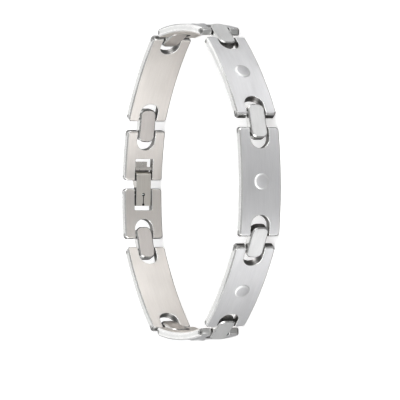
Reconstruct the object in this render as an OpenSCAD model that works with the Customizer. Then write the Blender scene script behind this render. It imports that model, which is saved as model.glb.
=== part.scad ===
// A man's link bracelet, lying on its side. Arched panels and short links
// alternate round the loop on cross pins, and a divided panel makes the clasp.
// Z runs along the wrist. The origin is under the middle of the loop, on the
// surface that the panels' lower edges rest on. +Y points at the clasp.

/* [Panels] */
// Length of a full panel from end to end
panel_len = 23.6; // [22:0.1:25]
// Width of the panels, which is the width of the bracelet
panel_w = 9.5; // [8.8:0.1:11]
// Thickness of the panels
panel_t = 1.75; // [1.6:0.05:2]
// Radius of the panels' arched outer face
arch_r = 66; // [55:1:90]
// Bevel along the long edges of the faces
edge_bevel = 0.25; // [0.1:0.05:0.35]
// Bevel across the ends of the faces
end_bevel = 0.45; // [0.2:0.05:0.5]
// Bevel across the panels' corners
corner_bevel = 0.5; // [0.3:0.05:0.8]
// Width of the notch in a panel's end that takes a link
notch_w = 4.5; // [4.4:0.1:4.8]
// Depth of that notch from the panel's end to its round bottom
notch_depth = 4.6; // [4.3:0.1:4.9]

/* [Links] */
// Distance between the two pins of a link
link_span = 4.2; // [4:0.1:4.6]
// Distance from a pin to the end of the link
link_reach = 1.75; // [1.6:0.05:1.9]
// Width of a link along its pins
link_w = 3.95; // [3.5:0.05:4.1]
// Radius of a link's rounded corners
link_corner = 1.45; // [1.2:0.05:1.6]
// Thickness of a link
link_t = 2; // [1.5:0.05:2.2]
// Bevel round the faces of a link
link_bevel = 0.25; // [0.1:0.05:0.3]

/* [Pins] */
// Diameter of the cross pins
pin_d = 0.8; // [0.6:0.05:0.85]
// Distance from a panel's end to the axis of its pin
pin_inset = 0.9; // [0.8:0.05:1.1]
// How far a pin lies inside the panel's edge
pin_recess = 0.05; // [0.05:0.05:0.3]
// How far a clasp pin's rounded head stands above the panel's edge
pin_head = 0.2; // [0.1:0.05:0.3]

/* [Discs] */
// Diameter of the disc in the middle of a panel
disc_d = 3.5; // [3:0.1:4.5]
// Height of the disc above the panel
disc_proud = 0.25; // [0.2:0.05:0.5]
// Depth of the disc's seat below the panel's crown
disc_seat = 0.45; // [0.3:0.05:0.7]
// Width of the bevel round the disc's top
disc_bevel = 0.4; // [0.2:0.05:0.5]

/* [Clasp] */
// Length of each half panel of the clasp
half_len = 11.8; // [11.5:0.1:12.5]
// Distance between the hinge pin and the catch bar
clasp_span = 3.8; // [3.6:0.1:4]
// Width of the square slots that take the tongue
slot_w = 4.4; // [4.3:0.1:4.6]
// Depth of those slots from the half panel's end
slot_depth = 5.1; // [4.9:0.1:5.3]
// Width of the tongue along the hinge pin
tongue_w = 3.7; // [3.3:0.1:3.8]
// Distance from the hinge pin to the tongue's free end
tongue_reach = 6.9; // [6.6:0.05:7]
// Height of the tongue's back above the hinge pin's axis
tongue_back = 1.4; // [1.2:0.05:1.5]
// Distance from the hinge pin to the end of the thumb tail
tail_reach = 3.4; // [3:0.1:3.5]
// Width of the thumb tail along the hinge pin
tail_w = 3.1; // [2.6:0.1:3.2]
// Thickness of the thumb tail
tail_t = 0.6; // [0.5:0.05:0.7]
// Width of the tail's root, with the rib across it
rib_w = 4.1; // [3.7:0.05:4.1]

/* [Hidden] */
// Running clearance round a pin in a panel, in a link and in the tongue
hole_gap = 0.02;
link_gap = 0.05;
// Clearance round the catch bar in its groove, and round a disc in its seat
catch_gap = 0.15;
seat_gap = 0.05;
// Spare length of a cutting shape past the face that it cuts, and the depth of
// a cut that goes right through an arched panel
over = 1;
deep = 2 * panel_t + 2 * over;
// Height of a disc's bevel
disc_drop = 0.14;

// The tongue's outline, from the hinge pin's axis: outward is up
barrel_r = 1;
toe_top = 0.43;
back_end = 1.05;
ramp_end = 2.6;
rib_near = 1.45;
rib_far = 2.15;
rib_foot = -0.8;
// The tongue's relief hole, which is blind, with a slit from it to a nick in
// the end
relief_at = 4.25;
relief_d = 0.75;
slit_w = 0.2;
nick_d = 0.6;

// Smoothness of round parts, and of the wide arches
$fn = 64;
ARCH_FN = 240;

// How the loop lies: the pieces in order round it, counter-clockwise seen from
// above, and the heading of each one's outer face in degrees from +X
KIND = 0;
HEADING = 1;
lay = [
    ["panel", -88.5], ["link", -70.5],
    ["panel", -47], ["link", -35.5],
    ["panel", -1], ["link", 19.5],
    ["panel", 52.5], ["link", 78],
    ["half", 80.5], ["tongue", 87.5], ["half", 94.5], ["link", 111.5],
    ["panel", 129.5], ["link", 168],
    ["panel", 182.5], ["link", 214],
    ["panel", 229.5], ["link", 238],
];
pieces = [0 : len(lay) - 1];

function outward(a) = [cos(a), sin(a)];
function onward(a) = [-sin(a), cos(a)];
function total(list, i = 0) = i == len(list) - 1 ? list[i] : list[i] + total(list, i + 1);

function plate_len(kind) = kind == "half" ? half_len : panel_len;
function pin_span(len) = len - 2 * pin_inset;
function step(kind) = kind == "link" ? link_span : kind == "tongue" ? clasp_span : pin_span(plate_len(kind));
steps = [for (piece = lay) step(piece[KIND])];

// The steps from pin to pin have to end where they began, so every heading is
// nudged by the least that closes the loop
function closed(a, rounds) = rounds == 0 ? a : let (
    gap = total([for (i = pieces) steps[i] * onward(a[i])]),
    pull = [for (i = pieces) -steps[i] * outward(a[i])],
    xx = total([for (p = pull) p.x * p.x]),
    xy = total([for (p = pull) p.x * p.y]),
    yy = total([for (p = pull) p.y * p.y]),
    fix = [yy * gap.x - xy * gap.y, xx * gap.y - xy * gap.x] / (xx * yy - xy * xy)
) closed([for (i = pieces) a[i] - pull[i] * fix * 180 / PI], rounds - 1);
heading = closed([for (piece = lay) piece[HEADING]], 4);

// The first pin of each piece, and the middle of a panel's outer face
function pin_at(i) = i == 0 ? [0, 0] : pin_at(i - 1) + steps[i - 1] * onward(heading[i - 1]);
pins = [for (i = pieces) pin_at(i)];
function pin_drop(len) = arch_r - sqrt(pow(arch_r - panel_t / 2, 2) - pow(pin_span(len) / 2, 2));
function crown(i) = pins[i] + steps[i] / 2 * onward(heading[i])
    + pin_drop(plate_len(lay[i][KIND])) * outward(heading[i]);

// The points of a piece that can lie furthest towards a direction
function within(a, most) = max(-most, min(most, (a + 540) % 360 - 180));
function arch_point(i, a) = crown(i) - arch_r * outward(heading[i]) + arch_r
    * outward(heading[i] + within(a - heading[i], asin(plate_len(lay[i][KIND]) / 2 / arch_r)));
function rim_points(i) = [for (side = [-1, 1]) crown(i) + disc_proud * outward(heading[i])
    + side * (disc_d / 2 - disc_bevel) * onward(heading[i])];
function back_points(i) = [for (along = [-tail_reach, back_end]) pins[i] + tongue_back * outward(heading[i])
    + along * onward(heading[i])];
function far_points(i, a) =
    lay[i][KIND] == "panel" ? concat([arch_point(i, a)], rim_points(i)) :
    lay[i][KIND] == "half" ? [arch_point(i, a)] :
    lay[i][KIND] == "tongue" ? back_points(i) : [pins[i]];
function reach(a) = max([for (i = pieces) for (p = far_points(i, a)) p * outward(a)]);
middle = [reach(0) - reach(180), reach(90) - reach(270)] / 2;

function numbered(kind) = [for (i = pieces) if (lay[i][KIND] == kind) i];
panels = numbered("panel");
links = numbered("link");
halves = numbered("half");
tongue = numbered("tongue")[0];
function next(i) = (i + 1) % len(lay);
link_pins = [for (i = links) each [pins[i], pins[next(i)]]];

function named(word, most) = [for (k = [1 : most]) str(word, k)];

// A rectangle with bevelled corners, as an outline
function bevelled(low, high, bevel) = [
    [low.x + bevel, low.y], [high.x - bevel, low.y], [high.x, low.y + bevel], [high.x, high.y - bevel],
    [high.x - bevel, high.y], [low.x + bevel, high.y], [low.x, high.y - bevel], [low.x, low.y + bevel],
];

// Puts a piece's own frame at a point of the loop: outward is +X, onward is +Y
module lay_at(point, i) {
    translate([point.x - middle.x, point.y - middle.y, 0]) rotate([0, 0, heading[i]]) children();
}

module both_ends() {
    for (side = [0, 1]) mirror([0, side, 0]) children();
}

// Stands an outline up so that it is seen along X, and gives it a depth in X
module facing(low, high) {
    translate([low, 0, 0]) rotate([90, 0, 90]) linear_extrude(high - low) children();
}

// The curved plate of a panel, with the crown of its outer face at the origin
function face_drop(r, len) = arch_r - sqrt(r * r - len * len / 4);
module arched_plate(len) {
    turn = 2 * asin((len / 2 + over) / (arch_r - panel_t));
    low = -face_drop(arch_r - panel_t, len) - over;
    intersection() {
        translate([-arch_r, 0, 0]) rotate([0, 0, -turn / 2]) rotate_extrude(angle = turn, $fn = ARCH_FN)
            polygon(bevelled([arch_r - panel_t, 0], [arch_r, panel_w], edge_bevel));
        facing(low, over) polygon(bevelled([-len / 2, -over], [len / 2, panel_w + over], corner_bevel + over));
    }
}

// Bevels the two long edges of an end face
module end_bevels(len) {
    for (edge = [[arch_r, 45], [arch_r - panel_t, 135]])
        translate([-face_drop(edge[0], len), len / 2, -over]) rotate([0, 0, edge[1]])
            translate([-end_bevel / sqrt(2), -over, 0]) cube([over, 2 * over, panel_w + 2 * over]);
}

module pin_hole(len) {
    translate([-pin_drop(len), pin_span(len) / 2, -over])
        cylinder(d = pin_d + 2 * hole_gap, h = panel_w + 2 * over);
}

// The notch for a link, open at the panel's end and round at its bottom
module notch(len) {
    bottom = len / 2 - notch_depth + notch_w / 2;
    translate([-deep, bottom, panel_w / 2]) rotate([0, 90, 0]) cylinder(d = notch_w, h = deep + over);
    translate([-deep, bottom, panel_w / 2 - notch_w / 2]) cube([deep + over, notch_depth, notch_w]);
}

// The slot for the tongue, with a square bottom
module slot(len) {
    translate([-deep, len / 2 - slot_depth, panel_w / 2 - slot_w / 2])
        cube([deep + over, slot_depth + over, slot_w]);
}

module panel(k) {
    i = panels[k - 1];
    color("silver") lay_at(crown(i), i) difference() {
        arched_plate(panel_len);
        both_ends() {
            end_bevels(panel_len);
            pin_hole(panel_len);
            notch(panel_len);
        }
        translate([-disc_seat, 0, panel_w / 2]) rotate([0, 90, 0])
            cylinder(d = disc_d + 2 * seat_gap, h = disc_seat + over);
    }
}

module disc(k) {
    i = panels[k - 1];
    high = disc_seat + disc_proud;
    color("gainsboro") lay_at(crown(i), i) translate([-disc_seat, 0, panel_w / 2]) rotate([0, 90, 0])
        rotate_extrude() polygon([
            [0, 0], [disc_d / 2, 0], [disc_d / 2, high - disc_drop], [disc_d / 2 - disc_bevel, high], [0, high],
        ]);
}

// The end of a link, with two rounded corners, bulging along +Y
module link_end() {
    flat = link_w / 2 - link_corner;
    rim = [
        [0, -link_t / 2], [link_corner - link_bevel, -link_t / 2], [link_corner, link_bevel - link_t / 2],
        [link_corner, link_t / 2 - link_bevel], [link_corner - link_bevel, link_t / 2], [0, link_t / 2],
    ];
    rotate([0, 90, 0]) {
        facing(-flat, flat) polygon(rim);
        for (side = [0, 1]) mirror([side, 0, 0]) translate([flat, 0, 0])
            rotate_extrude(angle = 90) polygon(rim);
    }
}

// A flat link between two pins, with its first pin at the origin
module link(k) {
    i = links[k - 1];
    straight = link_span + 2 * (link_reach - link_corner);
    color("lightgray") lay_at(pins[i], i) difference() {
        translate([0, link_span / 2, panel_w / 2]) {
            rotate([-90, 0, 0]) linear_extrude(straight, center = true)
                polygon(bevelled([-link_t / 2, -link_w / 2], [link_t / 2, link_w / 2], link_bevel));
            both_ends() translate([0, straight / 2, 0]) link_end();
        }
        for (along = [0, link_span]) translate([0, along, 0])
            cylinder(d = pin_d + 2 * link_gap, h = panel_w);
    }
}

module cross_pin(point) {
    translate([point.x - middle.x, point.y - middle.y, pin_recess])
        cylinder(d = pin_d, h = panel_w - 2 * pin_recess);
}

module link_pin(k) {
    color("dimgray") cross_pin(link_pins[k - 1]);
}

// A clasp pin reaches the panel's upper edge, with a rounded head above it
module clasp_pin(point) {
    head_r = (pin_head * pin_head + pin_d * pin_d / 4) / (2 * pin_head);
    color("gray") translate([point.x - middle.x, point.y - middle.y, 0]) {
        translate([0, 0, pin_recess]) cylinder(d = pin_d, h = panel_w - pin_recess);
        translate([0, 0, panel_w]) intersection() {
            translate([0, 0, pin_head - head_r]) sphere(head_r);
            cylinder(d = 2 * pin_d, h = head_r);
        }
    }
}

// A half panel, notched at its link's end and slotted at the other
module clasp_half(i, slot_side) {
    color("silver") lay_at(crown(i), i) mirror([0, slot_side, 0]) difference() {
        arched_plate(half_len);
        both_ends() {
            end_bevels(half_len);
            pin_hole(half_len);
        }
        slot(half_len);
        mirror([0, 1, 0]) notch(half_len);
    }
}

module clasp_hinge_half() clasp_half(halves[0], 0);
module clasp_catch_half() clasp_half(halves[1], 1);
module clasp_hinge_pin() clasp_pin(pins[tongue]);
module clasp_catch_bar() clasp_pin(pins[next(tongue)]);

// A slice of the tongue, as wide as given and centred across the bracelet
module tongue_slice(width) {
    translate([0, 0, (panel_w - width) / 2]) linear_extrude(width) children();
}

// The tongue turns on the hinge pin at the origin. Its free end passes inside
// the catch bar, which lies in a groove that opens outward.
module clasp_tongue() {
    groove_r = pin_d / 2 + catch_gap;
    color("darkgray") lay_at(pins[tongue], tongue) difference() {
        union() {
            tongue_slice(tongue_w) {
                circle(barrel_r);
                polygon([
                    [-barrel_r, 0], [tongue_back, 0], [tongue_back, back_end], [toe_top, ramp_end],
                    [toe_top, tongue_reach], [-barrel_r, tongue_reach],
                ]);
            }
            tongue_slice(rib_w) translate([0, -rib_far]) {
                translate([rib_foot, 0]) square([tongue_back - rib_foot, rib_far - rib_near]);
                translate([tongue_back - tail_t, 0]) square([tail_t, rib_far]);
            }
            tongue_slice(tail_w) translate([tongue_back - tail_t, -tail_reach]) square([tail_t, tail_reach]);
        }
        cylinder(d = pin_d + 2 * link_gap, h = panel_w);
        translate([0, clasp_span, 0]) cylinder(r = groove_r, h = panel_w);
        translate([0, clasp_span - groove_r, 0]) cube([over, 2 * groove_r, panel_w]);
        translate([-2 * over, relief_at, panel_w / 2]) rotate([0, 90, 0]) cylinder(d = relief_d, h = 2 * over);
        translate([-2 * over, relief_at, (panel_w - slit_w) / 2])
            cube([4 * over, tongue_reach - relief_at + over, slit_w]);
        translate([-2 * over, tongue_reach - nick_d / 2, panel_w / 2]) rotate([0, 90, 0])
            cylinder(d = nick_d, h = 2 * over);
    }
}

for (k = [1 : len(panels)]) panel(k);
for (k = [1 : len(panels)]) disc(k);
for (k = [1 : len(links)]) link(k);
for (k = [1 : len(link_pins)]) link_pin(k);
clasp_hinge_half();
clasp_catch_half();
clasp_hinge_pin();
clasp_catch_bar();
clasp_tongue();
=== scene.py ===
# A man's brushed steel link bracelet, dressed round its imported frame
import math

import bmesh
import bpy
from mathutils import Matrix, Vector


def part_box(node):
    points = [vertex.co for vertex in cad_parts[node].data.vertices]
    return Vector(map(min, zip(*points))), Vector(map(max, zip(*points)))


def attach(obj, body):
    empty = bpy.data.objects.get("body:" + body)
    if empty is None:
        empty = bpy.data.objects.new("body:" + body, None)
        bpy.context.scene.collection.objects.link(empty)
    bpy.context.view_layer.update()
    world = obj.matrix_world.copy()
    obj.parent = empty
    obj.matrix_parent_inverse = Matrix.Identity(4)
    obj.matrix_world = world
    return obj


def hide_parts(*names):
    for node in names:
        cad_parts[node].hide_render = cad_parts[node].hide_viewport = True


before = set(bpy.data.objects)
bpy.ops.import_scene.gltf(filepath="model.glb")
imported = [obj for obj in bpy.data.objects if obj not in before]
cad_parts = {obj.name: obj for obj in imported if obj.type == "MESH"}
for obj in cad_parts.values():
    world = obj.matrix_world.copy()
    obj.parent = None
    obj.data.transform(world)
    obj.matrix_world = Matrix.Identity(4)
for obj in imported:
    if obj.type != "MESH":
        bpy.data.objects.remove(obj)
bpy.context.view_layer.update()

# The shapes are drawn in millimetres, and each is moved to its place in metres when it is done.
# In a piece's own space X points outward from the wrist, Y runs along the bracelet and Z across it.
mm = 0.001
over = 1.0  # how far a cutting shape reaches past what it cuts
closeDist = 0.0005  # points nearer than this are taken as one
arcSteps = 24  # in half a turn
rimSteps = 2
quarterTurn = math.pi / 2
halfTurn = math.pi
fullTurn = 2 * math.pi
squareOn = 0.9  # a face looks along an axis when its normal has more than this of it
edgeOn = 0.1  # and lies along the axis when its normal has less than this of it

# The kinds of face on a piece, in the order of its material slots
faceKinds = range(7)
outerFace, innerFace, sideFace, endFace, bevelFace, wallFace, cornerFace = faceKinds


# Tools for making shapes


# Draws a closed outline. Each step is a corner, or the centre of an arc of half a turn
# that starts at the last corner.
def drawOutline(bm, axis, steps):
    first = last = bm.verts.new(steps[0])
    for step in steps[1:]:
        if isinstance(step, dict):
            arc = bmesh.ops.spin(
                bm, geom=[last], cent=step["centre"], axis=axis, angle=halfTurn, steps=arcSteps
            )
            last = next(part for part in arc["geom_last"] if isinstance(part, bmesh.types.BMVert))
        else:
            corner = bm.verts.new(step)
            bm.edges.new((last, corner))
            last = corner
    bm.edges.new((last, first))
    bmesh.ops.remove_doubles(bm, verts=bm.verts, dist=closeDist)
    bmesh.ops.edgeloop_fill(bm, edges=bm.edges[:])


def thicken(bm, depth):
    grown = bmesh.ops.extrude_face_region(bm, geom=bm.faces[:])
    moved = [part for part in grown["geom"] if isinstance(part, bmesh.types.BMVert)]
    bmesh.ops.translate(bm, verts=moved, vec=depth)


# Turns a profile of (height, radius) points about Z
def turnProfile(bm, profile):
    line = [bm.verts.new((radius, 0, height)) for height, radius in profile]
    edges = [bm.edges.new(pair) for pair in zip(line, line[1:])]
    bmesh.ops.spin(
        bm, geom=line + edges, cent=(0, 0, 0), axis=(0, 0, 1), angle=fullTurn, steps=2 * arcSteps,
        use_merge=True,
    )


# Lays what stands along Z over, so that its top points outward along X
def layOutward(bm):
    bmesh.ops.rotate(bm, verts=bm.verts, cent=(0, 0, 0), matrix=Matrix.Rotation(quarterTurn, 3, "Y"))


def block(bm, low, high):
    low, high = Vector(low), Vector(high)
    place = Matrix.Translation((low + high) / 2) @ Matrix.Diagonal((*(high - low), 1))
    bmesh.ops.create_cube(bm, size=1, matrix=place)


def bevelEdges(bm, edges, width, steps=1):
    made = bmesh.ops.bevel(
        bm, geom=edges, offset=width, offset_type="OFFSET", segments=steps, profile=0.5,
        affect="EDGES", material=-1,
    )
    return made["faces"]


# The edges that run from one broad face of a plate to the other
def throughEdges(bm, thickness):
    return [edge for edge in bm.edges if abs(edge.verts[0].co.x - edge.verts[1].co.x) > thickness / 2]


# The edges between a broad face and a face that stands square on it
def faceRims(bm):
    bm.normal_update()
    rims = []
    for edge in bm.edges:
        tilts = sorted(abs(face.normal.x) for face in edge.link_faces)
        if tilts[0] < edgeOn and tilts[1] > squareOn:
            rims.append(edge)
    return rims


# Makes a shape an object. Without a kind its faces keep the kinds that they have.
def pieceFrom(bm, name, kind):
    bmesh.ops.remove_doubles(bm, verts=bm.verts, dist=closeDist)
    bmesh.ops.recalc_face_normals(bm, faces=bm.faces)
    if kind is not None:
        for face in bm.faces:
            face.material_index = kind
    mesh = bpy.data.meshes.new(name)
    bm.to_mesh(mesh)
    bm.free()
    for _ in faceKinds:
        mesh.materials.append(None)
    piece = bpy.data.objects.new(name, mesh)
    bpy.context.scene.collection.objects.link(piece)
    return piece


def slab(low, high, kind):
    bm = bmesh.new()
    block(bm, low, high)
    return pieceFrom(bm, "tool", kind)


# A round cutting bar, along Z or laid outward, moved to its place and then reshaped point by point
def drill(radius, low, high, at=(0, 0, 0), outward=False, reshape=None):
    bm = bmesh.new()
    turnProfile(bm, [(low, 0), (low, radius), (high, radius), (high, 0)])
    if outward:
        layOutward(bm)
    bmesh.ops.translate(bm, verts=bm.verts, vec=at)
    if reshape is not None:
        for vert in bm.verts:
            vert.co = reshape(vert.co)
    return pieceFrom(bm, "tool", wallFace)


# Works out the modifiers of a piece and keeps the result as its mesh
def settle(piece):
    graph = bpy.context.evaluated_depsgraph_get()
    mesh = bpy.data.meshes.new_from_object(piece.evaluated_get(graph))
    piece.modifiers.clear()
    piece.data = mesh


def combine(piece, tools, operation):
    for tool in tools:
        step = piece.modifiers.new(tool.name, "BOOLEAN")
        step.operation = operation
        step.solver = "EXACT"
        step.object = tool
    settle(piece)
    for tool in tools:
        bpy.data.objects.remove(tool)


# Bevels the edges that turn by more than an angle, in degrees
def roundRims(piece, width, angle):
    rims = piece.modifiers.new("rims", "BEVEL")
    rims.width = width
    rims.segments = rimSteps
    rims.limit_method = "ANGLE"
    rims.angle_limit = math.radians(angle)
    rims.material = bevelFace
    rims.use_clamp_overlap = True
    settle(piece)


# Tells the faces apart by the way they look; bevels, cut walls and ends that are marked stay as they are
def sortFaces(bm):
    for face in bm.faces:
        if face.material_index in (bevelFace, wallFace, endFace):
            continue
        x, y, z = face.normal
        if abs(x) > squareOn:
            face.material_index = outerFace if x > 0 else innerFace
        else:
            face.material_index = endFace if abs(y) > squareOn else sideFace


# Lays a UV map in millimetres over the shape, each face from the side that it faces
def mapFaces(bm):
    layer = bm.loops.layers.uv.new("steel")
    for face in bm.faces:
        x, y, z = (abs(share) for share in face.normal)
        for loop in face.loops:
            point = loop.vert.co
            if x >= max(y, z):
                loop[layer].uv = (point.y, point.z)
            elif z >= y:
                loop[layer].uv = (point.y, point.x)
            else:
                loop[layer].uv = (point.z, point.x)


# Marks the points that lie on a bevel, where handling burnishes the steel
def markRims(bm):
    layer = bm.verts.layers.float.new("rim")
    for vert in bm.verts:
        onRim = any(face.material_index == bevelFace for face in vert.link_faces)
        vert[layer] = 1.0 if onRim else 0.0


def opened(piece):
    bm = bmesh.new()
    bm.from_mesh(piece.data)
    return bm


# Cleans a shape and keeps it as the piece's mesh. A crisp piece has a sharp line where a cut wall
# or a bevel meets another kind of face; the kinds before the bevels count as one.
def closed(bm, piece, crisp=False):
    bmesh.ops.remove_doubles(bm, verts=bm.verts, dist=closeDist)
    bmesh.ops.dissolve_degenerate(bm, dist=closeDist, edges=bm.edges)
    bmesh.ops.recalc_face_normals(bm, faces=bm.faces)
    for face in bm.faces:
        face.smooth = True
    for edge in bm.edges:
        kinds = {max(face.material_index, bevelFace - 1) for face in edge.link_faces}
        edge.smooth = not crisp or not kinds & {bevelFace, wallFace} or len(kinds) < 2
    bm.to_mesh(piece.data)
    bm.free()


# Cuts a shape by planes, each given as a point and a normal
def bisectAll(bm, cuts):
    for point, normal in cuts:
        everything = bm.verts[:] + bm.edges[:] + bm.faces[:]
        bmesh.ops.bisect_plane(bm, geom=everything, plane_co=point, plane_no=normal, dist=closeDist)


# Steel: the patterns on it, and a finish for each kind of face


# Noise along and across the brushing: how fast it changes in a millimetre, where it starts, how far
# it is turned in degrees, and the noise's own detail and roughness
steelPatterns = {
    "broad": {"scale": (0.10, 1.6), "shift": (0, 0), "turn": 0, "detail": 2, "roughness": 0.5},
    "middle": {"scale": (0.28, 5.0), "shift": (3, 7), "turn": 0, "detail": 3, "roughness": 0.6},
    "fine": {"scale": (0.7, 16.0), "shift": (9, 2), "turn": 0, "detail": 3, "roughness": 0.7},
    "smudge": {"scale": (0.22, 0.3), "shift": (0, 0), "turn": 0, "detail": 4, "roughness": 0.55},
    "scratch": {"scale": (0.5, 9), "shift": (0, 0), "turn": 27, "detail": 1, "roughness": 0.4},
    "patch": {"scale": (0.8, 1.1), "shift": (5, 5), "turn": 0, "detail": 4, "roughness": 0.6},
}

# How the patterns mark the steel, in every finish
steelDetail = {
    "lineSpread": (0.3, 0.7),  # the part of the noise that is drawn out from none to full
    "smudgeSpread": (0.35, 0.68),
    "scratchSpread": (0.70, 0.76),
    "wearSpread": (0.3, 0.62),
    "leastWear": 0.35,  # on a bevel, where it is least burnished
    "fineInLines": 0.55,  # the rest is of the middle pattern
    "broadInBands": 0.6,
    "linesInTone": 0.5,  # the rest is of the bands
    "bandsInRough": 0.5,  # the rest is of the smudges
    "wornTone": 0.7,  # how far a burnished place takes the worn colour
    "scratchDepth": 0.6,  # beside the lines
    "relief": 0.02,  # millimetres
    "glintTurn": 0.25,  # of a whole turn, so that the glints stretch across the brushing
}
vectorKind, floatKind = "NodeSocketVector", "NodeSocketFloat"


# Starts a shader node group. The sockets are given as their names and kinds.
def group(name, inputs, outputs):
    tree = bpy.data.node_groups.new(name, "ShaderNodeTree")
    for direction, sockets in (("INPUT", inputs), ("OUTPUT", outputs)):
        for socket, kind in sockets.items():
            tree.interface.new_socket(socket, in_out=direction, socket_type=kind)
    return tree, tree.nodes.new("NodeGroupInput"), tree.nodes.new("NodeGroupOutput")


def pattern(tree, source, name):
    kind = steelPatterns[name]
    laid = tree.nodes.new("ShaderNodeMapping")
    laid.inputs["Location"].default_value = (*kind["shift"], 0)
    laid.inputs["Rotation"].default_value = (0, 0, math.radians(kind["turn"]))
    laid.inputs["Scale"].default_value = (*kind["scale"], 1)
    tree.links.new(source, laid.inputs["Vector"])
    noise = tree.nodes.new("ShaderNodeTexNoise")
    noise.inputs["Scale"].default_value = 1
    noise.inputs["Detail"].default_value = kind["detail"]
    noise.inputs["Roughness"].default_value = kind["roughness"]
    tree.links.new(laid.outputs["Vector"], noise.inputs["Vector"])
    return noise.outputs["Fac"]


# One step of arithmetic on values or sockets
def reckon(tree, operation, a, b=None, c=None):
    node = tree.nodes.new("ShaderNodeMath")
    node.operation = operation
    for value, socket in zip((a, b, c), node.inputs):
        if isinstance(value, (int, float)):
            socket.default_value = value
        elif value is not None:
            tree.links.new(value, socket)
    return node.outputs["Value"]


# A share of the first socket and the rest of the second
def shareOf(tree, first, second, share):
    return reckon(tree, "MULTIPLY_ADD", first, share, reckon(tree, "MULTIPLY", second, 1 - share))


def spread(tree, value, low, high, toLow=0.0, toHigh=1.0):
    node = tree.nodes.new("ShaderNodeMapRange")
    node.inputs["From Min"].default_value = low
    node.inputs["From Max"].default_value = high
    node.inputs["To Min"].default_value = toLow
    node.inputs["To Max"].default_value = toHigh
    tree.links.new(value, node.inputs["Value"])
    return node.outputs["Result"]


# Mixes two colours, each given as its three parts or as a socket
def colourMix(tree, factor, a, b):
    node = tree.nodes.new("ShaderNodeMix")
    node.data_type = "RGBA"
    for colour, socket in ((a, node.inputs["A"]), (b, node.inputs["B"])):
        if isinstance(colour, tuple):
            socket.default_value = (*colour, 1)
        else:
            tree.links.new(colour, socket)
    tree.links.new(factor, node.inputs["Factor"])
    return node.outputs["Result"]


# Fine parallel lines left by the brush, from broad soft bands to hairlines
def brushingGroup():
    tree, given, out = group("brushing", {"Vector": vectorKind}, {"Lines": floatKind, "Bands": floatKind})
    source = given.outputs["Vector"]
    broad, middle, fine = (pattern(tree, source, name) for name in ("broad", "middle", "fine"))
    lines = shareOf(tree, fine, middle, steelDetail["fineInLines"])
    bands = shareOf(tree, broad, middle, steelDetail["broadInBands"])
    tree.links.new(spread(tree, lines, *steelDetail["lineSpread"]), out.inputs["Lines"])
    tree.links.new(spread(tree, bands, *steelDetail["lineSpread"]), out.inputs["Bands"])
    return tree


# Soft marks of handling, and sparse short scratches across the brushing
def handlingGroup():
    tree, given, out = group("handling", {"Vector": vectorKind}, {"Smudge": floatKind, "Scratch": floatKind})
    source = given.outputs["Vector"]
    smudge, scratch = (pattern(tree, source, name) for name in ("smudge", "scratch"))
    tree.links.new(spread(tree, smudge, *steelDetail["smudgeSpread"]), out.inputs["Smudge"])
    tree.links.new(spread(tree, scratch, *steelDetail["scratchSpread"]), out.inputs["Scratch"])
    return tree


# How burnished a point is: most on a bevel, in patches, and fading beside it
def edgeWearGroup():
    tree, given, out = group("edgeWear", {"Vector": vectorKind, "Rim": floatKind}, {"Wear": floatKind})
    patch = pattern(tree, given.outputs["Vector"], "patch")
    patchy = spread(tree, patch, *steelDetail["wearSpread"], steelDetail["leastWear"], 1.0)
    tree.links.new(reckon(tree, "MULTIPLY", given.outputs["Rim"], patchy), out.inputs["Wear"])
    return tree


def placeGroup(tree, kind, vector):
    node = tree.nodes.new("ShaderNodeGroup")
    node.node_tree = kind
    tree.links.new(vector, node.inputs["Vector"])
    return node


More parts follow.
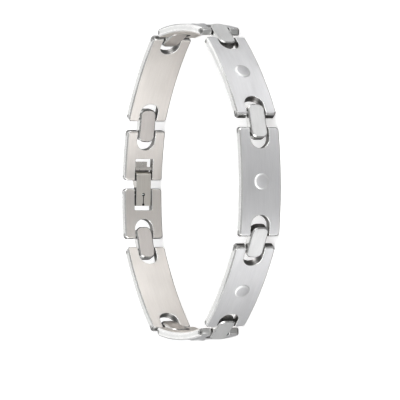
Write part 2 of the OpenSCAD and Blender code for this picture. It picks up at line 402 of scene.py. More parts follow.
# The finishes of the steel. The dark and light colours are the ends of the brushing's tones, and rough
# is the least and the most of its roughness. Worn values are those of a burnished place, and grazing
# is how much of the steel's shine stays at a shallow angle, all of it where it isn't given.
steelFinishes = {
    "brushedOuter": {
        "dark": (0.73, 0.73, 0.74), "light": (0.83, 0.83, 0.84), "worn": (0.88, 0.88, 0.87),
        "rough": (0.36, 0.46), "wornRough": 0.3, "bump": 0.10, "anisotropic": 0.85,
    },
    "brushedInner": {
        "dark": (0.76, 0.725, 0.69), "light": (0.85, 0.815, 0.78), "worn": (0.88, 0.865, 0.84),
        "rough": (0.38, 0.48), "wornRough": 0.3, "bump": 0.10, "anisotropic": 0.85,
    },
    "brushedSide": {
        "dark": (0.76, 0.76, 0.75), "light": (0.86, 0.86, 0.85), "worn": (0.9, 0.9, 0.89),
        "rough": (0.26, 0.38), "wornRough": 0.2, "bump": 0.08, "anisotropic": 0.4,
    },
    "polishedBevel": {
        "dark": (0.76, 0.76, 0.755), "light": (0.86, 0.86, 0.855), "worn": (0.9, 0.9, 0.89),
        "rough": (0.24, 0.34), "wornRough": 0.2, "bump": 0.04, "anisotropic": 0.0,
    },
    # painted shade: the panels' end faces, which face each other across the gaps, get a near-black copy of
    # the steel
    "paintedShadeEnd": {
        "dark": (0.12, 0.12, 0.115), "light": (0.20, 0.20, 0.195), "worn": (0.5, 0.5, 0.49),
        "rough": (0.34, 0.46), "wornRough": 0.26, "bump": 0.14, "anisotropic": 0.0,
    },
    # the lit copy of the same end finish, lighter than the painted shade above, for ends that face the light
    "litEnd": {
        "dark": (0.54, 0.54, 0.53), "light": (0.68, 0.68, 0.67), "worn": (0.8, 0.8, 0.79),
        "rough": (0.34, 0.46), "wornRough": 0.26, "bump": 0.14, "anisotropic": 0.0,
    },
    # painted shade: the walls of notches, slots and pin holes get a near-black copy of the steel, with less
    # shine at a shallow angle
    "paintedShadeWall": {
        "dark": (0.14, 0.138, 0.135), "light": (0.24, 0.237, 0.23), "worn": (0.5, 0.49, 0.48),
        "rough": (0.28, 0.40), "wornRough": 0.24, "bump": 0.14, "anisotropic": 0.0, "grazing": 0.4,
    },
    # painted shade: the same for the walls of the clasp's halves, a little less dark
    "claspPaintedShadeWall": {
        "dark": (0.20, 0.195, 0.19), "light": (0.30, 0.295, 0.285), "worn": (0.5, 0.49, 0.48),
        "rough": (0.28, 0.40), "wornRough": 0.24, "bump": 0.14, "anisotropic": 0.0, "grazing": 0.5,
    },
    # painted shade: the plates' corners are darkened to hide the bright glints they catch
    "paintedShadeCorner": {
        "dark": (0.22, 0.22, 0.215), "light": (0.31, 0.31, 0.305), "worn": (0.42, 0.42, 0.41),
        "rough": (0.44, 0.54), "wornRough": 0.4, "bump": 0.06, "anisotropic": 0.0,
    },
    # painted shade: the links' bevels are darker than their faces, standing in for the dark reflections on
    # them
    "paintedShadeBevel": {
        "dark": (0.38, 0.38, 0.375), "light": (0.50, 0.50, 0.495), "worn": (0.6, 0.6, 0.59),
        "rough": (0.28, 0.40), "wornRough": 0.26, "bump": 0.06, "anisotropic": 0.0,
    },
    "linkSide": {
        "dark": (0.48, 0.48, 0.47), "light": (0.60, 0.60, 0.59), "worn": (0.74, 0.74, 0.73),
        "rough": (0.18, 0.28), "wornRough": 0.16, "bump": 0.06, "anisotropic": 0.0,
    },
    # painted shade: the links' rounded ends, down in the notches, are darkened
    "linkEnd": {
        "dark": (0.20, 0.20, 0.195), "light": (0.29, 0.29, 0.285), "worn": (0.5, 0.5, 0.49),
        "rough": (0.24, 0.34), "wornRough": 0.2, "bump": 0.08, "anisotropic": 0.0,
    },
    "linkFace": {
        "dark": (0.82, 0.822, 0.82), "light": (0.92, 0.92, 0.915), "worn": (0.94, 0.94, 0.93),
        "rough": (0.34, 0.44), "wornRough": 0.26, "bump": 0.08, "anisotropic": 0.8,
    },
    "linkInner": {
        "dark": (0.66, 0.625, 0.60), "light": (0.75, 0.715, 0.69), "worn": (0.82, 0.80, 0.77),
        "rough": (0.36, 0.46), "wornRough": 0.26, "bump": 0.08, "anisotropic": 0.8,
    },
    "discRing": {
        "dark": (0.70, 0.70, 0.70), "light": (0.78, 0.78, 0.78), "worn": (0.84, 0.84, 0.83),
        "rough": (0.56, 0.66), "wornRough": 0.5, "bump": 0.08, "anisotropic": 0.0,
    },
    "discSteel": {
        "dark": (0.64, 0.64, 0.65), "light": (0.74, 0.74, 0.75), "worn": (0.80, 0.80, 0.80),
        "rough": (0.46, 0.56), "wornRough": 0.4, "bump": 0.10, "anisotropic": 0.0,
    },
    "pinWire": {
        "dark": (0.60, 0.60, 0.59), "light": (0.74, 0.74, 0.73), "worn": (0.82, 0.82, 0.81),
        "rough": (0.28, 0.42), "wornRough": 0.24, "bump": 0.06, "anisotropic": 0.0,
    },
    "claspPinHead": {
        "dark": (0.66, 0.66, 0.65), "light": (0.78, 0.78, 0.77), "worn": (0.84, 0.84, 0.83),
        "rough": (0.2, 0.32), "wornRough": 0.18, "bump": 0.05, "anisotropic": 0.0,
    },
    "tongueRim": {
        "dark": (0.60, 0.59, 0.57), "light": (0.72, 0.71, 0.69), "worn": (0.82, 0.81, 0.79),
        "rough": (0.2, 0.3), "wornRough": 0.18, "bump": 0.04, "anisotropic": 0.0,
    },
    # painted shade: near-black steel for the tongue's faces inside the slots and under its tail, and for the
    # clasp pins' bodies
    "paintedShadeSteel": {
        "dark": (0.06, 0.058, 0.055), "light": (0.12, 0.117, 0.11), "worn": (0.3, 0.29, 0.28),
        "rough": (0.34, 0.44), "wornRough": 0.28, "bump": 0.08, "anisotropic": 0.0, "grazing": 0.3,
    },
    "tongueSteel": {
        "dark": (0.70, 0.67, 0.62), "light": (0.82, 0.79, 0.74), "worn": (0.86, 0.84, 0.81),
        "rough": (0.34, 0.44), "wornRough": 0.26, "bump": 0.10, "anisotropic": 0.7,
    },
}


def steelMaterial(name, finish, groups):
    material = bpy.data.materials.new(name)
    material.use_nodes = True
    tree = material.node_tree
    shader = tree.nodes["Principled BSDF"]
    grazing = finish.get("grazing", 1.0)
    shader.inputs["Metallic"].default_value = 1
    shader.inputs["Specular Tint"].default_value = (grazing, grazing, grazing, 1)
    shader.inputs["Anisotropic"].default_value = finish["anisotropic"]
    shader.inputs["Anisotropic Rotation"].default_value = steelDetail["glintTurn"]
    if finish["anisotropic"]:
        along = tree.nodes.new("ShaderNodeTangent")
        along.direction_type = "UV_MAP"
        along.uv_map = "steel"
        tree.links.new(along.outputs["Tangent"], shader.inputs["Tangent"])

    uv = tree.nodes.new("ShaderNodeUVMap")
    uv.uv_map = "steel"
    rim = tree.nodes.new("ShaderNodeAttribute")
    rim.attribute_name = "rim"
    brushing, handling, wearing = (placeGroup(tree, kind, uv.outputs["UV"]) for kind in groups)
    tree.links.new(rim.outputs["Fac"], wearing.inputs["Rim"])
    lines, bands = brushing.outputs["Lines"], brushing.outputs["Bands"]
    smudge, scratch = handling.outputs["Smudge"], handling.outputs["Scratch"]
    wear = wearing.outputs["Wear"]

    steel = colourMix(
        tree, shareOf(tree, lines, bands, steelDetail["linesInTone"]), finish["dark"], finish["light"]
    )
    worn = colourMix(tree, reckon(tree, "MULTIPLY", wear, steelDetail["wornTone"]), steel, finish["worn"])
    tree.links.new(worn, shader.inputs["Base Color"])

    low, high = finish["rough"]
    rough = spread(tree, shareOf(tree, bands, smudge, steelDetail["bandsInRough"]), 0, 1, low, high)
    drop = reckon(tree, "MULTIPLY", wear, (low + high) / 2 - finish["wornRough"])
    tree.links.new(reckon(tree, "SUBTRACT", rough, drop), shader.inputs["Roughness"])

    bump = tree.nodes.new("ShaderNodeBump")
    bump.inputs["Strength"].default_value = finish["bump"]
    bump.inputs["Distance"].default_value = steelDetail["relief"] * mm
    dent = reckon(tree, "MULTIPLY", scratch, steelDetail["scratchDepth"])
    tree.links.new(reckon(tree, "SUBTRACT", lines, dent), bump.inputs["Height"])
    tree.links.new(bump.outputs["Normal"], shader.inputs["Normal"])
    return material


# Gives each kind of face its finish; a kind that isn't named gets the outer face's
def dress(piece, finishes):
    for kind in faceKinds:
        piece.data.materials[kind] = steels[finishes.get(kind, finishes[outerFace])]


patternGroups = [brushingGroup(), handlingGroup(), edgeWearGroup()]
steels = {name: steelMaterial(name, finish, patternGroups) for name, finish in steelFinishes.items()}
print("materials made:", len(steels))


# Panels and the two halves of the clasp

panelPlate = {
    "length": 23.6,
    "halfLength": 11.8,  # of each half of the clasp
    "width": 9.5,
    "thickness": 1.75,
    "archRadius": 66,
    "faceBevel": 0.25,
    "faceBevelSteps": 1,
    "endBevel": 0.45,
    "endBevelSteps": 3,
    "cornerBevel": 0.5,
    "cornerFacing": 0.95,  # a corner's faces look outward or inward by less than this
    "rimBevel": 0.06,  # round the notches and the slots
    "rimAngle": 50,
    "notchWidth": 4.5,
    "notchDepth": 4.6,
    "slotWidth": 4.4,
    "slotDepth": 5.1,
    "pinHole": 0.42,  # radius
    "pinInset": 0.9,  # from a plate's end
    "seatRadius": 1.765,
    "seatDepth": 0.45,
    "stripLength": 0.6,  # of the facets that follow the arch
    "burnish": 0.2,  # how far the worn band reaches in from an edge
}
# The plates' ends, cut walls and corners get darker copies of the steel: painted shade
plateFinishes = {
    outerFace: "brushedOuter",
    innerFace: "brushedInner",
    sideFace: "brushedSide",
    endFace: "paintedShadeEnd",
    bevelFace: "polishedBevel",
    wallFace: "paintedShadeWall",
    cornerFace: "paintedShadeCorner",
}


# Where a point of a flat plate goes when the plate is bent to its arch, and then the way back
def bent(point):
    radius = panelPlate["archRadius"]
    return Vector((math.sqrt((radius + point.x) ** 2 - point.y**2) - radius, point.y, point.z))


def flattened(point):
    radius = panelPlate["archRadius"]
    return Vector((math.hypot(point.x + radius, point.y) - radius, point.y, point.z))


# How far below its crown a plate's pins lie
def pinDrop(length):
    radius = panelPlate["archRadius"]
    reach = length / 2 - panelPlate["pinInset"]
    return radius - math.sqrt((radius - panelPlate["thickness"] / 2) ** 2 - reach**2)


# Holes and seats are flattened as the plate is, so that they come out true when the plate is bent
def pinHoleTool(length, side):
    reach = panelPlate["width"] / 2 + over
    at = (-pinDrop(length), side * (length / 2 - panelPlate["pinInset"]), 0)
    return drill(panelPlate["pinHole"], -reach, reach, at, reshape=flattened)


def seatTool():
    return drill(panelPlate["seatRadius"], -panelPlate["seatDepth"], over, outward=True, reshape=flattened)


# A notch has a round bottom and runs out over the plate's end
def notchTool(length, side):
    bm = bmesh.new()
    half = panelPlate["notchWidth"] / 2
    bottom = length / 2 - panelPlate["notchDepth"] + half
    deep = -2 * (panelPlate["thickness"] + over)
    end = length / 2 + over
    drawOutline(bm, (1, 0, 0), [
        (deep, bottom, half), {"centre": (deep, bottom, 0)}, (deep, end, -half), (deep, end, half),
    ])
    thicken(bm, (over - deep, 0, 0))
    if side < 0:
        bmesh.ops.rotate(bm, verts=bm.verts, cent=(0, 0, 0), matrix=Matrix.Rotation(halfTurn, 3, "X"))
    return pieceFrom(bm, "tool", wallFace)


def slotTool(length, side):
    half = panelPlate["slotWidth"] / 2
    deep = 2 * (panelPlate["thickness"] + over)
    near, far = sorted([side * (length / 2 - panelPlate["slotDepth"]), side * (length / 2 + over)])
    return slab((-deep, near, -half), (deep, far, half), wallFace)


def atBothEnds(tool, length):
    return [tool(length, side) for side in (-1, 1)]


# A plate before it is cut and bent. On its inner side, the bevels at its ends get the ends' finish, with its
# painted shade.
def flatPlate(name, length):
    half = panelPlate["width"] / 2
    thickness = panelPlate["thickness"]
    bm = bmesh.new()
    block(bm, (-thickness, -length / 2, -half), (0, length / 2, half))
    bevelEdges(bm, throughEdges(bm, thickness), panelPlate["cornerBevel"])
    ends = [
        edge for edge in faceRims(bm)
        if all(abs(vert.co.y) > length / 2 - closeDist for vert in edge.verts)
    ]
    softened = bevelEdges(bm, ends, panelPlate["endBevel"], panelPlate["endBevelSteps"])
    rounded = bevelEdges(bm, faceRims(bm), panelPlate["faceBevel"], panelPlate["faceBevelSteps"])
    for face in softened + rounded:
        if face.is_valid:
            inward = face.calc_center_median().x < -thickness / 2 and abs(face.normal.z) < edgeOn
            face.material_index = endFace if inward else bevelFace
    return pieceFrom(bm, name, None)


# The four corners of a plate, apart from its broad faces, which are given a darkened finish as painted shade
def markCorners(bm, length):
    corner = panelPlate["cornerBevel"]
    for face in bm.faces:
        middle = face.calc_center_median()
        nearEnd = abs(middle.y) > length / 2 - corner
        nearSide = abs(middle.z) > panelPlate["width"] / 2 - corner
        if nearEnd and nearSide and abs(face.normal.x) < panelPlate["cornerFacing"]:
            face.material_index = cornerFace


# Cuts a flat plate into short strips and along its burnished bands, maps it and bends it to its arch
def bendPlate(piece, length):
    bm = opened(piece)
    strips = round(length / panelPlate["stripLength"])
    sideBand = panelPlate["width"] / 2 - panelPlate["faceBevel"] - panelPlate["burnish"]
    notchBand = panelPlate["notchWidth"] / 2 + panelPlate["rimBevel"] + panelPlate["burnish"]
    cuts = [((0, -length / 2 + k * length / strips, 0), (0, 1, 0)) for k in range(1, strips)]
    cuts += [((0, 0, side * band), (0, 0, 1)) for band in (sideBand, notchBand) for side in (-1, 1)]
    cuts += [((-panelPlate["thickness"] / 2, 0, 0), (1, 0, 0))]
    bisectAll(bm, cuts)
    bm.normal_update()
    sortFaces(bm)
    markCorners(bm, length)
    mapFaces(bm)
    markRims(bm)
    for vert in bm.verts:
        vert.co = bent(vert.co)
    closed(bm, piece, crisp=True)


# The broad cuts get rounded rims, and the holes after them are left sharp
# The cut walls get a near-black finish, painted shade in the notches, slots and holes
def makePlate(name, length, cuts, holes, wall="paintedShadeWall"):
    plate = flatPlate(name, length)
    combine(plate, cuts, "DIFFERENCE")
    roundRims(plate, panelPlate["rimBevel"], panelPlate["rimAngle"])
    combine(plate, holes, "DIFFERENCE")
    bendPlate(plate, length)
    dress(plate, {**plateFinishes, wallFace: wall})
    return plate


panelLength, halfLength = panelPlate["length"], panelPlate["halfLength"]
panelMaster = makePlate(
    "panelMaster", panelLength, atBothEnds(notchTool, panelLength),
    [*atBothEnds(pinHoleTool, panelLength), seatTool()],
)
# The clasp's halves have their slot and hole walls painted in a lighter shade
hingeMaster = makePlate(
    "hingeMaster", halfLength, [notchTool(halfLength, -1), slotTool(halfLength, 1)],
    atBothEnds(pinHoleTool, halfLength), "claspPaintedShadeWall",
)
catchMaster = makePlate(
    "catchMaster", halfLength, [notchTool(halfLength, 1), slotTool(halfLength, -1)],
    atBothEnds(pinHoleTool, halfLength), "claspPaintedShadeWall",
)
print("plates made:", len(panelMaster.data.polygons), len(hingeMaster.data.polygons), "faces")


# Links

linkPlate = {
    "span": 4.2,  # between its two pins
    "reach": 1.75,  # from a pin to the link's end
    "width": 3.95,
    "corner": 1.45,  # radius
    "cornerSteps": 12,
    "thickness": 2.0,
    "bevel": 0.25,
    "bevelSteps": 1,
    "bore": 0.45,  # radius
    "boreRim": 0.05,
    "rimAngle": 50,
    "burnish": 0.25,
}
# A link's ends and bevels are darker than its faces, and its bore walls near-black: painted shade
linkFinishes = {
    outerFace: "linkFace",
    innerFace: "linkInner",
    sideFace: "linkSide",
    endFace: "linkEnd",
    bevelFace: "paintedShadeBevel",
    wallFace: "paintedShadeWall",
}


# The link's first pin is at the origin and its second one at the span along Y
def makeLink():
    size = linkPlate
    half = size["width"] / 2
    deep = size["thickness"] / 2
    bm = bmesh.new()
    block(bm, (-deep, -size["reach"], -half), (deep, size["span"] + size["reach"], half))
    bevelEdges(bm, throughEdges(bm, size["thickness"]), size["corner"], size["cornerSteps"])
    for face in bevelEdges(bm, faceRims(bm), size["bevel"], size["bevelSteps"]):
        face.material_index = bevelFace
    link = pieceFrom(bm, "linkMaster", None)
    bores = [drill(size["bore"], -half - over, half + over, (0, at, 0)) for at in (0, size["span"])]
    combine(link, bores, "DIFFERENCE")
    roundRims(link, size["boreRim"], size["rimAngle"])

    bm = opened(link)
    bm.normal_update()
    sortFaces(bm)
    for face in bm.faces:
        if face.material_index == sideFace and abs(face.normal.y) > abs(face.normal.z):
            face.material_index = endFace
    broad = [face for face in bm.faces if face.material_index in (outerFace, innerFace)]
    bmesh.ops.inset_region(
        bm, faces=broad, thickness=size["burnish"], use_even_offset=True, use_boundary=True
    )
    bm.normal_update()
    mapFaces(bm)
    markRims(bm)
    closed(bm, link, crisp=True)
    dress(link, linkFinishes)
    return link


linkMaster = makeLink()
print("link made:", len(linkMaster.data.polygons), "faces")


# Pins and discs

crossPin = {
    "radius": 0.4,
    "low": 0.05,  # heights above the bracelet's lower edge
    "high": 9.45,
    "endBevel": 0.08,
    "headHeight": 0.2,  # of a clasp pin's round head
    "headTop": 9.7,
    "headSteps": 6,
}
studDisc = {
    "radius": 1.75,
    "proud": 0.25,
    "bevel": 0.4,
    "drop": 0.14,  # from the disc's top to its side
    "round": 0.04,
    "flatFacing": 0.99,  # the disc's top looks outward by more than this, and its ring by less
}


# A turned piece. A rule tells the kind of each face, and without one they are all outer faces.
def makeTurned(name, profile, finishes, kindOf=None, outward=False):
    bm = bmesh.new()
    turnProfile(bm, profile)
    if outward:
        layOutward(bm)
    piece = pieceFrom(bm, name, outerFace)
    bm = opened(piece)
    bm.normal_update()
    if kindOf is not None:
        for face in bm.faces:
            face.material_index = kindOf(face)
    mapFaces(bm)
    markRims(bm)
    closed(bm, piece)
    dress(piece, finishes)
    return piece


def pinHeadKind(face):
    return endFace if face.calc_center_median().z > panelPlate["width"] / 2 else outerFace


def discRingKind(face):
    return sideFace if edgeOn < abs(face.normal.x) < studDisc["flatFacing"] else outerFace


# A clasp pin's head is a low dome, drawn as an arc of a larger circle from its rim to its top
def domeProfile(top, height, radius, steps):
    circle = (height**2 + radius**2) / (2 * height)
    arc = math.asin(radius / circle)
    turns = [arc * k / steps for k in range(steps, -1, -1)]
    return [(top - circle + circle * math.cos(turn), circle * math.sin(turn)) for turn in turns]


def makePins():
    radius, bevel = crossPin["radius"], crossPin["endBevel"]
    low, high, headTop = (crossPin[key] - panelPlate["width"] / 2 for key in ("low", "high", "headTop"))
    foot = [(low, 0), (low, radius - bevel), (low + bevel, radius)]
    flatEnd = [(high - bevel, radius), (high, radius - bevel), (high, 0)]
    head = domeProfile(headTop, crossPin["headHeight"], radius, crossPin["headSteps"])
    plain = makeTurned("pinMaster", foot + flatEnd, {outerFace: "pinWire"})
    # A clasp pin's body is near-black steel, painted shade, and its head is not
    headed = makeTurned(
        "claspPinMaster", foot + head, {outerFace: "paintedShadeSteel", endFace: "claspPinHead"}, pinHeadKind
    )
    return plain, headed


def makeDisc():
    foot = -panelPlate["seatDepth"]
    radius, top, soft = studDisc["radius"], studDisc["proud"], studDisc["round"]
    shoulder = top - studDisc["drop"]
    flat = radius - studDisc["bevel"]
    profile = [
        (foot, 0), (foot, radius), (shoulder - soft, radius), (shoulder + soft / 2, radius - soft),
        (top - soft / 2, flat + soft), (top, flat - soft), (top, 0),
    ]
    finishes = {outerFace: "discSteel", sideFace: "discRing"}
    return makeTurned("discMaster", profile, finishes, discRingKind, outward=True)


pinMaster, claspPinMaster = makePins()
discMaster = makeDisc()
print("pins and disc made")


# The tongue of the clasp

# Lengths are from the hinge pin: along Y towards the catch bar, and along X outward
claspTongue = {
    "width": 3.7,
    "barrel": 1.0,  # radius round the hinge pin, and how far inward the tongue reaches
    "back": 1.4,
    "backEnd": 1.05,
    "toeTop": 0.43,
    "rampEnd": 2.6,
    "reach": 6.9,
    "bore": 0.45,  # radius
    "grooveAt": 3.8,
    "groove": 0.55,  # radius
    "reliefAt": 4.25,
    "relief": 0.375,  # radius
    "slit": 0.2,
    "nick": 0.3,  # radius
    "tailReach": 3.4,  # away from the catch bar, as the rib's places are
    "tailWidth": 3.1,
    "tailThickness": 0.6,
    "ribWidth": 4.1,  # of the tail's root, with the rib across it
    "ribNear": 1.45,
    "ribFar": 2.15,
    "ribFoot": -0.8,
    "rimBevel": 0.07,
    "rimAngle": 25,
    "burnish": 0.15,
}
# The tongue's shaded faces and cut walls are near-black steel, painted shade
tongueFinishes = {
    outerFace: "tongueSteel",
    sideFace: "paintedShadeSteel",
    bevelFace: "tongueRim",
    wallFace: "paintedShadeSteel",
}


# The tongue's own outline, with its tail, the rib across it and the tail's root added
def tongueBlank():
    size = claspTongue
    half, tailHalf, ribHalf = size["width"] / 2, size["tailWidth"] / 2, size["ribWidth"] / 2
    back, ribNear, ribFar = size["back"], -size["ribNear"], -size["ribFar"]
    tailInner = back - size["tailThickness"]
    bm = bmesh.new()
    drawOutline(bm, (0, 0, 1), [
        (-size["barrel"], 0, -half),
        {"centre": (0, 0, -half)},
        (back, 0, -half),
        (back, size["backEnd"], -half),
        (size["toeTop"], size["rampEnd"], -half),
        (size["toeTop"], size["reach"], -half),
        (-size["barrel"], size["reach"], -half),
    ])
    thicken(bm, (0, 0, size["width"]))
    tongue = pieceFrom(bm, "tongueMaster", outerFace)
    tail = slab((tailInner, -size["tailReach"], -tailHalf), (back, size["backEnd"] / 2, tailHalf), outerFace)
    rib = slab((size["ribFoot"], ribFar, -ribHalf), (back, ribNear, ribHalf), outerFace)
    root = slab((tailInner, ribFar, -ribHalf), (back, 0, ribHalf), outerFace)
    combine(tongue, [tail, rib, root], "UNION")
    return tongue


# The groove for the catch bar, round inside and open outward
def grooveTool():
    size = claspTongue
    low = -size["width"] / 2 - over
    near, far = size["grooveAt"] - size["groove"], size["grooveAt"] + size["groove"]
    bm = bmesh.new()
    drawOutline(bm, (0, 0, 1), [
        (0, far, low), {"centre": (0, size["grooveAt"], low)}, (over, near, low), (over, far, low),
    ])
    thicken(bm, (0, 0, size["width"] + 2 * over))
    return pieceFrom(bm, "tool", wallFace)


# The relief hole, the nick at the tip and the slit between them
def springTools():
    size = claspTongue
    holes = ((size["relief"], size["reliefAt"]), (size["nick"], size["reach"] - size["nick"]))
    tools = [drill(radius, -2 * over, 0, (0, at, 0), outward=True) for radius, at in holes]
    low = (-2 * over, size["reliefAt"], -size["slit"] / 2)
    high = (2 * over, size["reach"] + over, size["slit"] / 2)
    return [*tools, slab(low, high, wallFace)]


# The faces inside the clasp's slots, and in the gap under the tail, lie in shade, which is painted on them
# as near-black steel
def paintTongueShade(bm):
    size = claspTongue
    for face in bm.faces:
        middle = face.calc_center_median()
        onRamp = size["backEnd"] < middle.y < size["rampEnd"]
        inSlot = abs(face.normal.z) > squareOn and not onRamp
        inGap = face.normal.x < -squareOn and middle.x > 0 and -size["ribNear"] < middle.y < 0
        if face.material_index == outerFace and (inSlot or inGap):
            face.material_index = sideFace


def makeTongue():
    size = claspTongue
    half = size["width"] / 2
    tongue = tongueBlank()
    combine(tongue, [drill(size["bore"], -half - over, half + over), grooveTool()], "DIFFERENCE")
    roundRims(tongue, size["rimBevel"], size["rimAngle"])
    combine(tongue, springTools(), "DIFFERENCE")

    bm = opened(tongue)
    margin = size["rimBevel"] + size["burnish"]
    cuts = [((0, 0, side * (half - margin)), (0, 0, 1)) for side in (-1, 1)]
    cuts += [((0, at, 0), (0, 1, 0)) for at in (size["reach"] - margin, size["rampEnd"], size["backEnd"], 0)]
    bisectAll(bm, cuts)
    bm.normal_update()
    paintTongueShade(bm)
    mapFaces(bm)
    markRims(bm)
    closed(bm, tongue, crisp=True)
    dress(tongue, tongueFinishes)
    return tongue


tongueMaster = makeTongue()
print("tongue made:", len(tongueMaster.data.polygons), "faces")


# Putting the bracelet together

bracelet = {
    "panels": 7,
    "links": 8,
    "linkPins": 16,
    "claspAfter": 4,  # the clasp comes after this panel and the link behind it
    "litEndPanels": (3, 6),  # their ends face the light and get the lit end finish, not the painted shade of the others
    "patternStep": (41, 13),  # from one piece's stretch of the pattern to the next, in millimetres
    "claspStretch": 9,  # the first stretch for the clasp's halves and tongue
    "claspPinStretch": 17,
    "shadeWeight": 60,
}


def pinCentre(name):
    low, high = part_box(name)
    return Vector(((low.x + high.x) / 2, (low.y + high.y) / 2, 0))


def linkPin(number):
    return "link_pin_%d" % ((number - 1) % bracelet["linkPins"] + 1)


# The place of a piece between two pins, with its first pin or its crown at the origin of its own space
def placeBetween(first, second, crownDrop=None):
    a, b = pinCentre(first), pinCentre(second)
    onward = (b - a).normalized()
    outward = Vector((onward.y, -onward.x, 0))
    at = a if crownDrop is None else (a + b) / 2 + crownDrop * mm * outward
    middle = panelPlate["width"] / 2 * mm
    return Matrix((
        (outward.x * mm, onward.x * mm, 0, at.x),
        (outward.y * mm, onward.y * mm, 0, at.y),
        (0, 0, mm, middle),
        (0, 0, 0, 1),
    ))


# Puts a copy of a master's mesh in its place and gives the copy its own stretch of the pattern
def putPiece(master, name, place, node, stretch, body="bracelet"):
    mesh = master.data.copy()
    mesh.name = name
    mesh.transform(place)
    shift = stretch * Vector(bracelet["patternStep"])
    for loop in mesh.uv_layers["steel"].data:
        loop.uv = loop.uv + shift
    piece = bpy.data.objects.new(name, mesh)
    bpy.context.scene.collection.objects.link(piece)
    shade = piece.modifiers.new("shade", "WEIGHTED_NORMAL")
    shade.mode = "FACE_AREA"
    shade.weight = bracelet["shadeWeight"]
    shade.keep_sharp = True
    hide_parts(node)
    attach(piece, body)
    return piece


# Pins are numbered round the loop, two to a link, so each panel lies between an even pin and the next
def putChain():
    for number in range(1, bracelet["panels"] + 1):
        before = 2 * number - 2 if number <= bracelet["claspAfter"] else 2 * number
        place = placeBetween(linkPin(before), linkPin(before + 1), pinDrop(panelLength))
        panel = putPiece(panelMaster, "panel%d" % number, place, "panel_%d" % number, number)
        # The panels whose ends face the light get the lit end finish in place of the painted shade
        if number in bracelet["litEndPanels"]:
            panel.data.materials[endFace] = steels["litEnd"]
        putPiece(discMaster, "disc%d" % number, place, "disc_%d" % number, number)
    for number in range(1, bracelet["links"] + 1):
        place = placeBetween(linkPin(2 * number - 1), linkPin(2 * number))
        putPiece(linkMaster, "link%d" % number, place, "link_%d" % number, number)
    for number in range(1, bracelet["linkPins"] + 1):
        partner = number + 1 if number % 2 else number - 1
        place = placeBetween(linkPin(number), linkPin(partner))
        putPiece(pinMaster, "linkPin%d" % number, place, linkPin(number), number)


def putClasp():
    hinge, catch = "clasp_hinge_pin", "clasp_catch_bar"
    lastPin = 2 * bracelet["claspAfter"]
    stretch, pinStretch = bracelet["claspStretch"], bracelet["claspPinStretch"]
    place = placeBetween(linkPin(lastPin), hinge, pinDrop(halfLength))
    putPiece(hingeMaster, "claspHingeHalf", place, "clasp_hinge_half", stretch)
    place = placeBetween(catch, linkPin(lastPin + 1), pinDrop(halfLength))
    putPiece(catchMaster, "claspCatchHalf", place, "clasp_catch_half", stretch + 1)
    place = placeBetween(hinge, catch)
    putPiece(claspPinMaster, "claspHingePin", place, hinge, pinStretch)
    putPiece(tongueMaster, "claspTongue", place, "clasp_tongue", stretch + 2, body="tongue")
    place = placeBetween(catch, hinge)
    putPiece(claspPinMaster, "claspCatchBar", place, catch, pinStretch + 1)


putChain()
putClasp()
for master in (
    panelMaster, hingeMaster, catchMaster, linkMaster, pinMaster, claspPinMaster, discMaster, tongueMaster
):
    bpy.data.objects.remove(master)
print("bracelet put together")


# Floor, light and camera

studio = {
    "floorSize": 4.0,  # metres
    "floorDrop": 0.02,  # millimetres below the bracelet
    "floorTone": 0.93,
    "floorLift": 0.3,  # added to the floor as the camera sees it, so that it stays white
    "floorInSteel": 0.4,  # how pale the floor looks in the metal's reflections
    "floorRough": 0.9,
    "floorSheen": 0.1,
    # brightness by heading in degrees from +X, close to the horizon and above it
    "lowBand": {
        -180: 1.6, -155: 3.4, -130: 3.8, -110: 2.6, -98: 0.4,
        -87: 0.2, -76: 0.7, -62: 1.7, -40: 2.8, -15: 3.1,
        15: 2.3, 50: 1.2, 90: 0.3, 130: 0.8, 155: 1.4,
    },
    "midBand": {
        -180: 2.3, -155: 4.2, -130: 5.4, -110: 4.9, -98: 2.3,
        -87: 1.6, -76: 2.7, -62: 3.4, -40: 4.3, -16: 5.5,
        15: 1.9, 30: 0.8, 60: 1.1, 90: 1.3, 125: 1.1, 155: 0.7,
    },
    "topFront": 0.5,  # overhead, on the camera's side
    "topBack": 0.2,
    "frontToBack": (-0.5, 0.5),  # where one passes into the other
    "lowToMid": (0.2, 0.4),  # heights at which one band passes into the next
    "midToTop": (0.48, 0.68),
    "rampScale": 6.0,  # no brightness of a band is above this
}


def floorMaterial():
    material = bpy.data.materials.new("paleFloor")
    material.use_nodes = True
    tree = material.node_tree
    shader = tree.nodes["Principled BSDF"]
    shader.inputs["Roughness"].default_value = studio["floorRough"]
    shader.inputs["Specular IOR Level"].default_value = studio["floorSheen"]
    seen = tree.nodes.new("ShaderNodeLightPath")
    low, high = studio["floorInSteel"], studio["floorTone"]
    tone = colourMix(tree, seen.outputs["Is Camera Ray"], (low, low, low), (high, high, high))
    tree.links.new(tone, shader.inputs["Base Color"])
    shader.inputs["Emission Color"].default_value = (1, 1, 1, 1)
    lift = reckon(tree, "MULTIPLY", seen.outputs["Is Camera Ray"], studio["floorLift"])
    tree.links.new(lift, shader.inputs["Emission Strength"])
    return material


def makeFloor():
    bm = bmesh.new()
    bmesh.ops.create_grid(bm, x_segments=1, y_segments=1, size=studio["floorSize"] / 2)
    mesh = bpy.data.meshes.new("floor")
    bm.to_mesh(mesh)
    bm.free()
    mesh.materials.append(floorMaterial())
    floor = bpy.data.objects.new("floor", mesh)
    floor.location = (0, 0, -studio["floorDrop"] * mm)
    bpy.context.scene.collection.objects.link(floor)


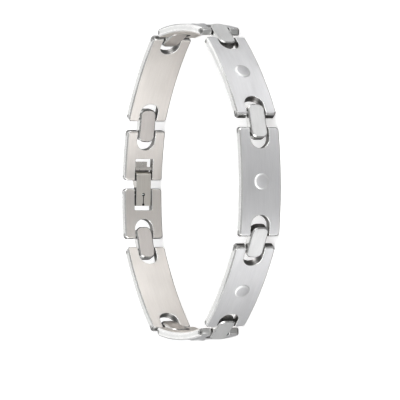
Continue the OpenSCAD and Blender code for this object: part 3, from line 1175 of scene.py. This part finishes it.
# Brightness by heading, as a ramp round the horizon that ends as it starts
def headingRamp(tree, share, band):
    ramp = tree.nodes.new("ShaderNodeValToRGB")
    ramp.color_ramp.interpolation = "EASE"
    tree.links.new(share, ramp.inputs["Fac"])
    headings = sorted(band)
    levels = [band[angle] / studio["rampScale"] for angle in [*headings, headings[0]]]
    elements = ramp.color_ramp.elements
    elements[1].position = 1.0
    for angle in headings[1:]:
        elements.new((angle + 180) / 360)
    for element, level in zip(elements, levels):
        element.color = (level, level, level, 1)
    return reckon(tree, "MULTIPLY", ramp.outputs["Color"], studio["rampScale"])


def crossFade(tree, factor, a, b):
    kept = reckon(tree, "MULTIPLY", a, reckon(tree, "SUBTRACT", 1.0, factor))
    return reckon(tree, "ADD", kept, reckon(tree, "MULTIPLY", b, factor))


def makeWorld():
    world = bpy.data.worlds.new("studio")
    bpy.context.scene.world = world
    world.use_nodes = True
    tree = world.node_tree
    background = tree.nodes["Background"]
    towards = tree.nodes.new("ShaderNodeTexCoord")
    parts = tree.nodes.new("ShaderNodeSeparateXYZ")
    tree.links.new(towards.outputs["Generated"], parts.inputs["Vector"])
    heading = reckon(tree, "ARCTAN2", parts.outputs["Y"], parts.outputs["X"])
    share = spread(tree, heading, -halfTurn, halfTurn)
    low, mid = (headingRamp(tree, share, studio[band]) for band in ("lowBand", "midBand"))
    lower = crossFade(tree, spread(tree, parts.outputs["Z"], *studio["lowToMid"]), low, mid)
    top = spread(tree, parts.outputs["Y"], *studio["frontToBack"], studio["topFront"], studio["topBack"])
    whole = crossFade(tree, spread(tree, parts.outputs["Z"], *studio["midToTop"]), lower, top)
    tree.links.new(whole, background.inputs["Strength"])
    background.inputs["Color"].default_value = (1, 1, 1, 1)


# The camera looks down at the hollow from the side away from the clasp. Its place was fitted to the
# photograph: turns in degrees, lengths in millimetres, and its aim in pixels from the frame's centre.
cameraView = {
    "elevation": 25.0,
    "azimuth": 0.2,
    "roll": -0.24,
    "distance": 670.5,
    "lens": 268.5,
    "sensor": 36,
    "aimAcross": -1.8,
    "aimUp": 17.9,
    "pixels": 400,  # across the frame
    "nearest": 0.01,  # metres
    "farthest": 10,
}


# Turns a pair of square axes, the first towards the second
def turned(first, second, angle):
    return (
        math.cos(angle) * first + math.sin(angle) * second,
        math.cos(angle) * second - math.sin(angle) * first,
    )


def makeCamera():
    view = cameraView
    elevation, azimuth, roll = (math.radians(view[key]) for key in ("elevation", "azimuth", "roll"))
    back = Vector((
        math.cos(elevation) * math.sin(azimuth),
        -math.cos(elevation) * math.cos(azimuth),
        math.sin(elevation),
    ))
    ahead = -back
    up = Vector((1, 0, 0))
    up = (up - ahead * up.dot(ahead)).normalized()
    right = ahead.cross(up)
    focal = view["lens"] / view["sensor"] * view["pixels"]
    up, right = turned(up, right, roll)
    right, ahead = turned(right, ahead, view["aimAcross"] / focal)
    up, ahead = turned(up, ahead, view["aimUp"] / focal)
    at = back * view["distance"] * mm + Vector((0, 0, panelPlate["width"] / 2 * mm))
    data = bpy.data.cameras.new("photographer")
    data.lens = view["lens"]
    data.sensor_width = view["sensor"]
    data.clip_start = view["nearest"]
    data.clip_end = view["farthest"]
    camera = bpy.data.objects.new("photographer", data)
    bpy.context.scene.collection.objects.link(camera)
    camera.matrix_world = Matrix((
        (right.x, up.x, -ahead.x, at.x),
        (right.y, up.y, -ahead.y, at.y),
        (right.z, up.z, -ahead.z, at.z),
        (0, 0, 0, 1),
    ))
    bpy.context.scene.camera = camera


makeFloor()
makeWorld()
makeCamera()
bpy.context.scene.view_settings.view_transform = "Standard"
bpy.context.scene.view_settings.look = "None"
print("stage set")

bpy.context.view_layer.update()
